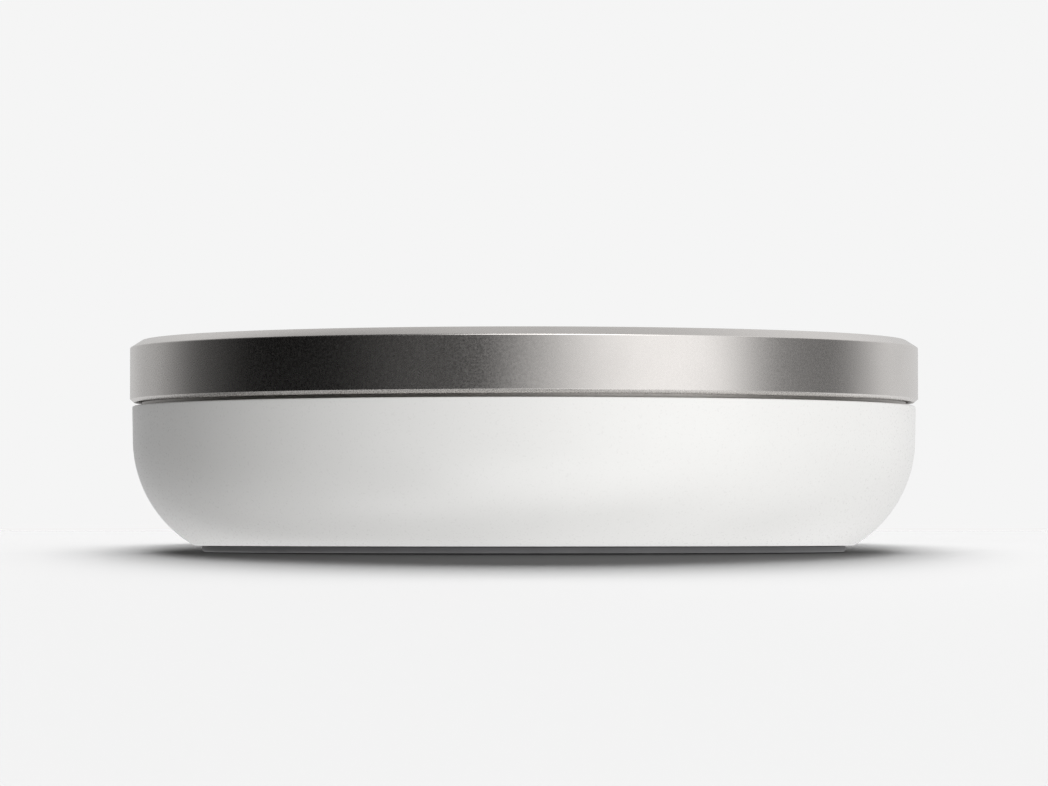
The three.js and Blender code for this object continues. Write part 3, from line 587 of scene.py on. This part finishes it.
def add_floor():
    """A plain pale floor with its own overhead strip light, for the soft shadow under the object."""
    floor = add_object("floor", floor_mesh())
    smooth(floor)

    material = bpy.data.materials.new("floor_paper")
    material.use_nodes = True
    tree = Tree(material.node_tree)
    shader = tree.add("ShaderNodeBsdfDiffuse", {"Color": FLOOR_COLOUR})[0]
    tree.add("ShaderNodeOutputMaterial", {"Surface": shader})
    floor.data.materials.append(material)
    floor.visible_diffuse = False
    floor.visible_glossy = False
    floor.visible_transmission = False
    floor.visible_shadow = False

    floor_only = bpy.data.collections.new("floor_only")
    floor_only.objects.link(floor)
    for lean, share in FLOOR_LIGHT_STRIP.items():
        sun = bpy.data.lights.new("floor_light", "SUN")
        sun.energy = FLOOR_LIGHT * share * math.pi / math.cos(math.radians(lean))
        sun.angle = math.radians(FLOOR_LIGHT_ANGLE)
        lamp = bpy.data.objects.new("floor_light", sun)
        lamp.rotation_euler = (-math.radians(FLOOR_LIGHT_LEAN), math.radians(lean), 0)
        bpy.context.scene.collection.objects.link(lamp)
        lamp.light_linking.receiver_collection = floor_only


# ------------------------------------------------------------ shells

def make_band():
    """The metal band: a wall with a small lower bevel, a sloping chamfer and a land round the top."""
    radius = BAND_RADIUS
    bottom = band_low.z
    top = band_high.z
    land = radius - BAND_CHAMFER[0]
    pocket = land - BAND_LAND
    ledge_bottom = LEDGE_TOP - LEDGE_THICKNESS
    band = add_object("metal_band", turned(rounded([
        (radius - BAND_WALL, bottom, 0.1),
        (radius - BAND_BEVEL[0], bottom, 0.15),
        (radius, bottom + BAND_BEVEL[1], 0.1),
        (radius, top - BAND_CHAMFER[1], 0.32),
        (land, top, 0.4),
        (pocket, top, 0.2),
        (pocket, LEDGE_TOP, 0.1),
        (LEDGE_RADIUS, LEDGE_TOP, 0),
        (LEDGE_RADIUS, ledge_bottom, 0),
        (radius - BAND_WALL, ledge_bottom, 0),
    ]), BAND_SEGMENTS))
    smooth(band, 50)
    place_piece(band, "housing", "band_aluminium", nodes=["trim_ring"])


sweep_top_radius = RIM_RADIUS - (bowl_high.z - SWEEP_TOP) * math.tan(DRAFT)
sweep_centre = (
    sweep_top_radius - SWEEP_RADIUS * math.cos(DRAFT),
    SWEEP_TOP + SWEEP_RADIUS * math.sin(DRAFT),
)


def bowl_radius_at(height):
    """The bowl's outer radius at a height."""
    if height >= SWEEP_TOP:
        return RIM_RADIUS - (bowl_high.z - height) * math.tan(DRAFT)
    drop = sweep_centre[1] - height
    return sweep_centre[0] + math.sqrt(SWEEP_RADIUS ** 2 - drop ** 2)


def recess_outline(grow):
    """(x, z) points round the recess's outline, grown outwards, with short steps along the sides."""
    radius = RECESS_CORNER + grow
    right = RECESS_HALF_WIDTH + grow - radius
    low = RECESS_LOW - grow + radius
    high = RECESS_HIGH + grow - radius
    corners = [
        *arc((right, low), radius, -math.pi / 2, 0, 6),
        *arc((right, high), radius, 0, math.pi / 2, 6),
        *arc((-right, high), radius, math.pi / 2, math.pi, 6),
        *arc((-right, low), radius, math.pi, 1.5 * math.pi, 6),
    ]
    # The two long sides are divided, so that they can follow the bowl's curve.
    points = []
    for index, start in enumerate(corners):
        end = corners[(index + 1) % len(corners)]
        steps = 40 if abs(end[0] - start[0]) > right else 1
        for step in range(steps):
            share = step / steps
            points.append((start[0] + (end[0] - start[0]) * share, start[1] + (end[1] - start[1]) * share))
    return points


def recess_flat(grow, y):
    """The recess's outline as a flat loop at one depth."""
    return [(x, y, z) for x, z in recess_outline(grow)]


def recess_on_bowl(grow, outward):
    """The recess's outline laid on the bowl's surface, or a little in or out from it."""
    loop = []
    for x, z in recess_outline(grow):
        radius = bowl_radius_at(z) + outward
        loop.append((x, math.sqrt(radius ** 2 - x ** 2), z))
    return loop


def make_bowl():
    """The white bowl, with the port window, the board's bosses and the case screws' holes."""
    base = bowl_low.z
    floor = BOWL_FLOOR_TOP
    rim = bowl_high.z
    lip = RIM_RADIUS - RIM_LIP[0]
    seat = rim - RIM_LIP[1]
    inner_sweep = SWEEP_RADIUS - BOWL_WALL
    outer_start = -math.asin((sweep_centre[1] - base) / SWEEP_RADIUS)
    inner_start = -math.asin((sweep_centre[1] - floor) / inner_sweep)
    outer = arc(sweep_centre, SWEEP_RADIUS, outer_start, -DRAFT, 40)
    inner = arc(sweep_centre, inner_sweep, inner_start, -DRAFT, 16)
    rim_corners = rounded([
        (*outer[-1], 0),
        (RIM_RADIUS, rim, 0.3),
        (lip, rim, 0.2),
        (lip, seat, 0),
        (RIM_RADIUS - BOWL_WALL, seat, 0),
        (*inner[-1], 0),
    ], closed=False)
    # The flat base meets the sweep in a small fillet.
    flat_from = 40
    base_corner = rounded([(flat_from, base, 0), (*outer[0], 1.2), (*outer[3], 0)], closed=False)
    outline = [(0, base), *base_corner, *outer[4:-1], *rim_corners, *inner[-2::-1], (0, floor)]
    bowl = add_object("white_bowl", turned(outline))

    posts = on_circle(POST_CIRCLE, POST_ANGLES)
    bosses = on_circle(BOSS_CIRCLE, BOSS_ANGLES)
    raised = turned_at(cylinder(POST_PAD_RADIUS, floor - OVERCUT, POST_PAD_TOP), posts)
    turned_at(cylinder(BOSS_RADIUS, floor - OVERCUT, board_low.z - SEAT_GAP), bosses, into=raised)
    combine(bowl, "UNION", raised)

    counterbore_top = floor - COUNTERBORE_BELOW_FLOOR
    screw_hole = [
        (0, base - OVERCUT),
        (COUNTERBORE_RADIUS, base - OVERCUT),
        (COUNTERBORE_RADIUS, counterbore_top),
        (SCREW_HOLE_RADIUS, counterbore_top),
        (SCREW_HOLE_RADIUS, POST_PAD_TOP + OVERCUT),
        (0, POST_PAD_TOP + OVERCUT),
    ]
    holes = turned_at(screw_hole, posts)
    pilot_low = floor + PILOT_ABOVE_FLOOR
    turned_at(cylinder(PILOT_RADIUS, pilot_low, board_low.z + OVERCUT), bosses, into=holes)
    gap = RECESS_WALL + FIT_GAP
    mouth = gap + 2 * RECESS_FLARE
    loft([
        recess_flat(gap, port_plate_low.y - 5 * OVERCUT),
        recess_on_bowl(gap, -RECESS_FLARE),
        recess_on_bowl(mouth, RECESS_FLARE),
        recess_flat(mouth, RIM_RADIUS + 5 * OVERCUT),
    ], into=holes)
    combine(bowl, "DIFFERENCE", holes)
    smooth(bowl, 30)
    place_piece(bowl, "housing", "white_polymer", nodes=["lower_bowl"])


def make_neck():
    """The darker ring set back in the shadow gap."""
    outer = neck_high.x
    inner = outer - NECK_WALL
    neck = add_object("neck_sleeve", turned(rounded([
        (inner, neck_low.z, 0.15),
        (outer, neck_low.z, 0.15),
        (outer, neck_high.z, 0.15),
        (inner, neck_high.z, 0.15),
    ], steps=3)))
    smooth(neck)
    place_piece(neck, "housing", "neck_aluminium", nodes=["neck_ring"])


def make_foot():
    """The rubber foot, with rounded edge, grip grooves underneath and a hole under each screw."""
    radius = foot_high.x
    low = foot_low.z
    high = foot_high.z
    bed = GROOVE_HALF_WIDTH - GROOVE_SLOPE
    grooves = []
    for middle in GROOVE_CIRCLES:
        grooves += [
            (middle - GROOVE_HALF_WIDTH, low, 0),
            (middle - bed, low + GROOVE_DEPTH, 0),
            (middle + bed, low + GROOVE_DEPTH, 0),
            (middle + GROOVE_HALF_WIDTH, low, 0),
        ]
    outline = rounded([
        (0, low, 0),
        *grooves,
        (radius, low, 0.6),
        (radius, high, 0.12),
        (0, high, 0),
    ], closed=False)
    foot = add_object("grip_foot", turned(outline))
    access = cylinder(SCREW_ACCESS_RADIUS, low - OVERCUT, high + OVERCUT)
    combine(foot, "DIFFERENCE", turned_at(access, on_circle(POST_CIRCLE, POST_ANGLES)))
    smooth(foot)
    place_piece(foot, "housing", "foot_rubber", nodes=["rubber_foot"])


# ------------------------------------------------------------ key deck

def plate_height_at(radius):
    """The height of the plate's dished top at a radius."""
    return PLATE_CENTRE + PLATE_DISH * (radius / PLATE_RADIUS) ** 2


def hole_with_rim(radius, low, top, flare=0.25):
    """Outline of a round cutter that leaves a rounded rim at `top`."""
    bend = arc((radius + flare, top - flare), flare, math.pi, math.pi / 2, 5)
    return [(0, low), (radius, low), *bend, (radius + flare, top + OVERCUT), (0, top + OVERCUT)]


def make_plate():
    """The slightly dished top plate, with a soft rim at each key hole."""
    low = plate_low.z
    cut_low = low - OVERCUT
    edge_end = PLATE_RADIUS - 2
    edge = rounded([
        (0, low, 0),
        (PLATE_RADIUS, low, 0.1),
        (PLATE_RADIUS, plate_high.z, 0.35),
        (edge_end, plate_height_at(edge_end), 0),
    ], closed=False)
    inside = [(radius, plate_height_at(radius)) for radius in range(60, 0, -5)]
    outline = [*edge, *inside, (0, PLATE_CENTRE)]
    plate = add_object("dished_plate", turned(outline))
    holes = bmesh.new()
    for key in KEYS.values():
        top = plate_height_at(abs(key["x"]))
        rim = hole_with_rim(key["radius"] + FIT_GAP, cut_low, top)
        turned(rim, KEY_SEGMENTS, (key["x"], 0), holes)
    pipe_rim = hole_with_rim(LIGHT_RADIUS + FIT_GAP, cut_low, plate_height_at(LIGHT_Y), 0.15)
    turned(pipe_rim, SMALL_SEGMENTS, (0, LIGHT_Y), holes)
    combine(plate, "DIFFERENCE", holes)
    smooth(plate, 30)
    place_piece(plate, "housing", "top_polymer", nodes=["top_plate"])


def make_key(name, x, radius):
    """A round dished key with its flange and stem."""
    low, high = box_mm(f"{name}_key")
    flange_top = high.z - KEY_FLANGE["below_top"]
    flange_low = flange_top - KEY_FLANGE["thickness"]
    flange_radius = radius + KEY_FLANGE["width"]
    edge = rounded([
        (0, low.z, 0),
        (KEY_STEM_RADIUS, low.z, 0.2),
        (KEY_STEM_RADIUS, flange_low, 0),
        (flange_radius, flange_low, 0.15),
        (flange_radius, flange_top, 0.15),
        (radius, flange_top, 0),
        (radius, high.z, 0.35),
        (radius - KEY_EDGE, high.z, 0),
    ], closed=False)
    outline = [*edge, *dish(radius - KEY_EDGE, high.z, KEY_DISH)[1:]]
    key = add_object(f"{name}_cap", turned(outline, KEY_SEGMENTS, (x, 0)))
    smooth(key, 30)
    place_piece(key, name, "key_polymer", nodes=[f"{name}_key"])


def bar(across, along):
    """A rounded bar's outline, from its x span and y span."""
    (x0, x1), (y0, y1) = across, along
    radius = min(x1 - x0, y1 - y0) * 0.3
    corners = [(x0, y0, radius), (x1, y0, radius), (x1, y1, radius), (x0, y1, radius)]
    return rounded(corners, steps=4)


def make_symbol(name, outlines, x):
    """A thin raised symbol on a key's dish."""
    key_top = box_mm(f"{name}_key")[1].z
    heights = (key_top - KEY_DISH - SYMBOL_ROOT, key_top - SYMBOL_BELOW_TOP)
    bm = bmesh.new()
    for outline in outlines:
        loft([[(x + across, along, z) for across, along in outline] for z in heights], into=bm)
    symbol = add_object(f"{name}_symbol", bm)
    place_piece(symbol, name, "key_polymer", "symbol_ink")


def make_light_pipe():
    """The small clear lens of the status light, with its flange under the plate."""
    flange_top = plate_low.z - SEAT_GAP
    flange_low = flange_top - LIGHT_FLANGE["thickness"]
    flange_radius = LIGHT_RADIUS + LIGHT_FLANGE["width"]
    outline = rounded([
        (0, pipe_low.z, 0),
        (LIGHT_RADIUS, pipe_low.z, 0.1),
        (LIGHT_RADIUS, flange_low, 0),
        (flange_radius, flange_low, 0.1),
        (flange_radius, flange_top, 0.1),
        (LIGHT_RADIUS, flange_top, 0),
        (LIGHT_RADIUS, pipe_high.z, 0.2),
        (0, pipe_high.z, 0),
    ], closed=False)
    pipe = add_object("status_lens", turned(outline, SMALL_SEGMENTS, (0, LIGHT_Y)))
    smooth(pipe)
    place_piece(pipe, "housing", "clear_polymer", nodes=["light_pipe"])


def make_key_deck():
    """The plate, its keys with play/pause, minus and plus symbols, and the status light."""
    make_plate()
    for name, key in KEYS.items():
        make_key(name, **key)
    tall = 2.6
    triangle = rounded([(-4.0, -tall, 0.3), (0.6, 0, 0.3), (-4.0, tall, 0.3)], steps=4)
    pause = [bar((left, left + 1.0), (-tall, tall)) for left in (1.7, 3.6)]
    arm = 1.9
    half = 0.35
    minus = bar((-arm, arm), (-half, half))
    plus = [
        (-arm, -half), (-half, -half), (-half, -arm), (half, -arm), (half, -half), (arm, -half),
        (arm, half), (half, half), (half, arm), (-half, arm), (-half, half), (-arm, half),
    ]
    make_symbol("play", [triangle, *pause], KEYS["play"]["x"])
    make_symbol("volume_down", [minus], KEYS["volume_down"]["x"])
    make_symbol("volume_up", [plus], KEYS["volume_up"]["x"])
    make_light_pipe()


# ------------------------------------------------------------ ports and underside

def make_tunnel():
    """The dark frame that lines the port recess out to the bowl's surface."""
    root = -1
    lip = rounded([
        (RECESS_WALL, root, 0),
        (RECESS_WALL, -SEAT_GAP, 0.25),
        (0, -SEAT_GAP, 0.4),
        (0, root, 0),
    ], closed=False, steps=4)[1:-1]
    front = port_plate_high.y + FIT_GAP
    loops = [
        recess_flat(RECESS_WALL, front),
        *(recess_on_bowl(grow, outward) for grow, outward in lip),
        recess_flat(0, front),
    ]
    tunnel = add_object("recess_liner", loft(loops, ring=True))
    smooth(tunnel, 40)
    place_piece(tunnel, "housing", "port_polymer", nodes=["port_tunnel"])


def make_case_screws():
    """The case screws, with a hex drive, seen through the foot's holes."""
    for number, place in enumerate(on_circle(POST_CIRCLE, POST_ANGLES), start=1):
        low, high = box_mm(f"case_screw_{number}")
        head_radius = (high.x - low.x) / 2
        centre = ((low.x + high.x) / 2, (low.y + high.y) / 2)
        head_top = low.z + SCREW_HEAD_HEIGHT
        outline = rounded([
            (0, low.z, 0),
            (head_radius, low.z, 0.5),
            (head_radius, head_top, 0.1),
            (SCREW_SHANK_RADIUS, head_top, 0),
            (SCREW_SHANK_RADIUS, high.z, 0.4),
            (0, high.z, 0),
        ], closed=False)
        screw = add_object(f"case_screw_head_{number}", turned(outline, SMALL_SEGMENTS, centre))
        drive = cylinder(SCREW_DRIVE["radius"], low.z - OVERCUT, low.z + SCREW_DRIVE["depth"])
        combine(screw, "DIFFERENCE", turned(drive, 6, centre))
        smooth(screw)
        place_piece(screw, "housing", "steel", nodes=[f"case_screw_{number}"])


# The CAD nodes whose edges show, and how far each is rounded.
SOFTENED_EDGES = {
    "port_plate": 0.25,
    "network_socket": 0.2,
    "video_socket": 0.12,
    "power_socket": 0.1,
    "audio_jack": 0.2,
    "pair_button": 0.25,
    "video_tongue": 0.12,
    "power_tongue": 0.1,
}


def finish_cad_nodes():
    """Paints every CAD node that still shows, and rounds the edges that can be seen."""
    slots = {part["node"]: part["material_slot"] for part in frame["record"]["subparts"]}
    for node, piece in frame["nodes"].items():
        if piece.hide_render:
            continue
        paint(piece, slots[node])
        piece.data.set_sharp_from_angle(angle=math.radians(30))
        if node in SOFTENED_EDGES:
            edges = piece.modifiers.new("edges", "BEVEL")
            edges.width = SOFTENED_EDGES[node] * MM
            edges.segments = 3
            edges.limit_method = "ANGLE"
            edges.angle_limit = math.radians(40)


add_camera()
bpy.context.scene.view_settings.view_transform = "Standard"
add_world()
add_floor()
make_band()
make_bowl()
make_neck()
make_foot()
make_key_deck()
make_tunnel()
make_case_screws()
finish_cad_nodes()
